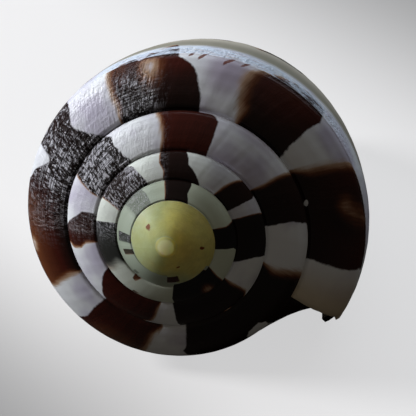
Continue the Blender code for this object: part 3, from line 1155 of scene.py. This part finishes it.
# %% Colours
WHITE = colour(230, 232, 235)
LILAC = colour(194, 189, 206)
DEEP_LILAC_AND_SHADE = colour(178, 168, 184)
OLD_WHITE = colour(202, 210, 188)
OLD_GREY = colour(164, 174, 156)
GREIGE = colour(158, 154, 139)
KHAKI = colour(206, 186, 150)
BODY_WHITE = colour(216, 208, 192)
TAN = colour(176, 146, 120)
BROWN = colour(108, 60, 32)
RED_BROWN = colour(58, 14, 5)
BLACK = colour(4, 3, 3)
PAINTED_SPARKLE = colour(224, 222, 230)
PAINTED_GLINT = colour(222, 233, 250)
DASH_BROWN = colour(104, 46, 20)
CAP_PALE = colour(184, 192, 142)
CAP_OCHRE_PAINTED_LIGHTER = colour(222, 214, 130)
NIPPLE = colour(250, 246, 205)
CAP_DARK = colour(150, 142, 80)
CAP_SPOT = colour(122, 62, 3)
PAINTED_SHADE_DARK = colour(9, 7, 6)
ROOM_WALL = colour(226, 218, 214)
print("red-brown is", [round(part, 3) for part in RED_BROWN[:3]], "in linear light")

# %% White of the shell
WHITES = (  # the field that brings a tone in, from, to, how far, and the tone
    (turn_field, -1.7, -3.2, 1.0, OLD_WHITE),
    (turn_field, -3.32, -3.42, 1.0, OLD_GREY),
    (turn_field, -0.055, -0.005, 0.8, KHAKI),
    (across_field, 1.38, 1.62, 1.0, GREIGE),
    (down_field, 0.15, 0.30, 1.0, BODY_WHITE),
)
white = blend(ease_between(clouds, 0.42, 0.70), WHITE, LILAC)
# partly a real lilac tone, partly painted shade on whites that the window lights less
white = blend(field("lilac_and_painted_shade"), white, DEEP_LILAC_AND_SHADE)
for where, start, end, amount, tone in WHITES:
    white = blend(ease_between(where, start, end, 0.0, amount), white, tone)
print("white takes on", 2 + len(WHITES), "tones")

# %% [markdown]
# A blotch has a sharp edge that grain and growth lines fray, and its pigment thins out in streaks on
# the older side. On its way from white to black it passes through tan and brown, unless its brown is
# well below zero: there, black thins straight to white.

# %% Pigment
frayed = sway(sway(field("edge"), grain, 0.014), growth_lines, 0.008)
sharp = ease_between(frayed, -0.006, 0.008)
streaked = sway(field("pigment"), growth_lines, 0.5)
streaked = blend(ease_between(field("pigment"), 0.75, 0.97), streaked, field("pigment"))
cover = product(sharp, streaked)
warmth = ease_between(field("brown"), -0.2, 0.0)
pigment = blend(field("brown"), BLACK, RED_BROWN)
pigment = blend(ease_between(field("brown"), 1.0, 2.0), pigment, BROWN)
faded = white
for start, end, tone in ((0.0, 0.40, TAN), (0.20, 0.75, BROWN), (0.50, 1.0, pigment)):
    faded = blend(ease_between(streaked, start, end), faded, tone)
surface = blend(warmth, blend(cover, white, pigment), blend(sharp, white, faded))
print("pigment laid")

# %% Painted sparkle and painted reflection
GLINT_STREAK_LEAN = 0.045  # turns that the painted glint's streaks run ahead over the width of a ramp
flecks = growth_noise((250, 8, 24), roughness=0.75)
clusters = noise(place, 700.0, 2.0, 0.6)
ridges = growth_noise((12, 40, 90), 2.0, 0.5)
# painted highlight: pale specks over the blotches, standing for glints of the window on wrinkles
painted_sparkle = ease_between(sway(flecks, clusters, 0.35), 0.475, 0.575)
painted_sparkle = product(painted_sparkle, ease_between(ridges, 0.40, 0.54, 0.15, 1.0), field("sparkle_share"), cover)
surface = blend(maths("MINIMUM", painted_sparkle, 1.0), surface, PAINTED_SPARKLE)
# painted reflection: pale bluish streaks painted along the shoulder, where the sky glints
leaning = maths("MULTIPLY_ADD", across_field, GLINT_STREAK_LEAN, turn_field)
glint_streak_vector = vector_of(product(leaning, 64), product(across_field, 9))
painted_glint_streaks = ease_between(noise(glint_streak_vector, 1.0, 3.0, 0.7), 0.36, 0.56)
surface = blend(product(painted_glint_streaks, field("painted_glint_band")), surface, PAINTED_GLINT)
print("flakes and film laid")

# %% [markdown]
# Painted shade makes each suture dark: a dark line is painted into the groove on one side of the spire,
# where the window's light doesn't reach into it. The cap is olive where it is pale and ochre where it is
# yellow, in rings, with a creamy nipple. The lighter ochre is laid more on the side that the lamps leave
# dark, so it is partly the cap's own tone and partly a painted lift of that side. Light sinks a little
# way into it, because the worn layer is thin and clear.

# %% Sutures, cap and nipple
shaded_side = maths("COSINE", maths("MULTIPLY_ADD", turn_field, 2 * math.pi, 0.72))
# painted shade: a dark line painted into each suture, on one side of the spire only
painted_suture_shade = ease_between(across_field, 0.010, 0.034, 0.95, 0.0)
not_on_cap = ease_between(turn_field, -4.1, -3.9)
surface = blend(product(painted_suture_shade, ease_between(shaded_side, 0.45, -0.35), not_on_cap), surface, PAINTED_SHADE_DARK)
cap_share = ease_between(field("cap"), -0.006, 0.006)
rings = growth_noise((14, 34, 1))
mottle = maths("MULTIPLY_ADD", rings, 0.5, product(noise(place, 1500.0, 3.0, 0.7), 0.5))
# partly the cap's own ochre tone, partly painted light: the lighter ochre leans to the side that the
# lamps leave dark
yellowing_and_painted_lift = maths("MULTIPLY_ADD", shaded_side, 0.12, clouds)
yellow = blend(ease_between(yellowing_and_painted_lift, 0.35, 0.65), CAP_PALE, CAP_OCHRE_PAINTED_LIGHTER)
yellow = blend(ease_between(mottle, 0.40, 0.60, 0.28, 0.0), yellow, CAP_DARK)
yellow = blend(ease_between(field("from_axis"), 0.00068, 0.00050), yellow, NIPPLE)
yellow = blend(cover, yellow, RED_BROWN)
surface = blend(cap_share, surface, yellow)
fill(shader, {"Subsurface Weight": cap_share, "Subsurface Radius": (1.0, 0.85, 0.45)})
fill(shader, {"Subsurface Scale": 0.0036})
print("cap laid")

# %% Dashes and spots
along = vector_of(turn_field, across_field)
unrolled = vector_maths("MULTIPLY", "Vector", along, (-2 * math.pi, WHORL_WIDTH, 0))


def spots_at(marks):
    """Ovals: degrees, across, half length and half width over the whorl's radius, and lean in degrees."""
    covered = 0.0
    for degrees, across, half_length, half_width, lean in marks:
        local = nodes.new("ShaderNodeMapping")
        local.vector_type = "TEXTURE"
        around = math.radians(degrees + LIP_BEYOND)
        fill(local, {"Vector": unrolled, "Location": (around, WHORL_WIDTH * across, 0)})
        fill(local, {"Rotation": (0, 0, math.radians(lean)), "Scale": (half_length, half_width, 1)})
        ragged = sway(vector_maths("LENGTH", "Value", local.outputs[0]), grain, 1.2)
        covered = maths("MAXIMUM", ease_between(ragged, 1.15, 0.75), covered)
    return covered


DASHES = (
    (117.0, 0.92, 0.036, 0.011, 118),
    (113.2, 0.89, 0.055, 0.012, 118),
    (104.3, 0.86, 0.060, 0.015, 122),
    (98.7, 0.92, 0.048, 0.012, 118),
)
CAP_SPOTS = (
    (1969, 0.80, 0.11, 0.14, 0),
    (1464.1, 0.12, 0.05, 0.06, 20),
    (1765.6, 0.17, 0.09, 0.03, 0),
)
PALE_SPOTS = ((43.1, 0.036, 0.026, 0.008, 8),)
surface = blend(product(spots_at(DASHES), 0.9), surface, DASH_BROWN)
surface = blend(spots_at(CAP_SPOTS), surface, CAP_SPOT)
surface = blend(spots_at(PALE_SPOTS), surface, WHITE)
surface = blend(field("inside"), surface, ROOM_WALL)
feed(shader.inputs["Base Color"], surface)
print(len(DASHES + CAP_SPOTS + PALE_SPOTS), "dashes and spots")

# %% [markdown]
# The shell is polished, so its roughness is low, and a little higher where the skin is wrinkled. Bump
# adds the growth lines, threads and wrinkles that are too fine for the mesh. It is strongest on the
# wrinkled skin and weakest on the smooth white, and it shrinks with the whorls.

# %% Gloss and bump
BUMP_DISTANCE = 0.00045
wrinkled = field("wrinkled")
fill(shader, {"Roughness": ease_between(wrinkled, 0.0, 1.0, 0.27, 0.36), "Specular IOR Level": 0.32})

whorl_size = maths("POWER", WHORL_GROWTH, turn_field)
height = maths("MULTIPLY_ADD", thread_lines, 0.6, growth_lines)
height = maths("ADD", height, wrinkles)
height = maths("MULTIPLY_ADD", product(flecks, wrinkled), 1.5, height)
height = maths("MULTIPLY_ADD", grain, 0.25, height)
height = product(height, whorl_size, maths("SUBTRACT", 1.0, product(cap_share, 0.7)))
bump = nodes.new("ShaderNodeBump")
rough = ease_between(cover, 0.0, 1.0, 0.2, 1.0)
rough = maths("MAXIMUM", rough, product(field("painted_glint_band"), 0.7))
strength = product(rough, ease_between(wrinkled, 0.0, 1.0, 0.09, 1.0))
fill(bump, {"Strength": strength, "Distance": BUMP_DISTANCE, "Height": height})
feed(shader.inputs["Normal"], bump.outputs[0])
shell_data.materials.append(porcelain)
print("material has", len(nodes), "nodes")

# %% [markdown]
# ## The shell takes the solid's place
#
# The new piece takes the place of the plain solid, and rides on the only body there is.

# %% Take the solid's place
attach(cone_shell, "root")
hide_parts("shell")
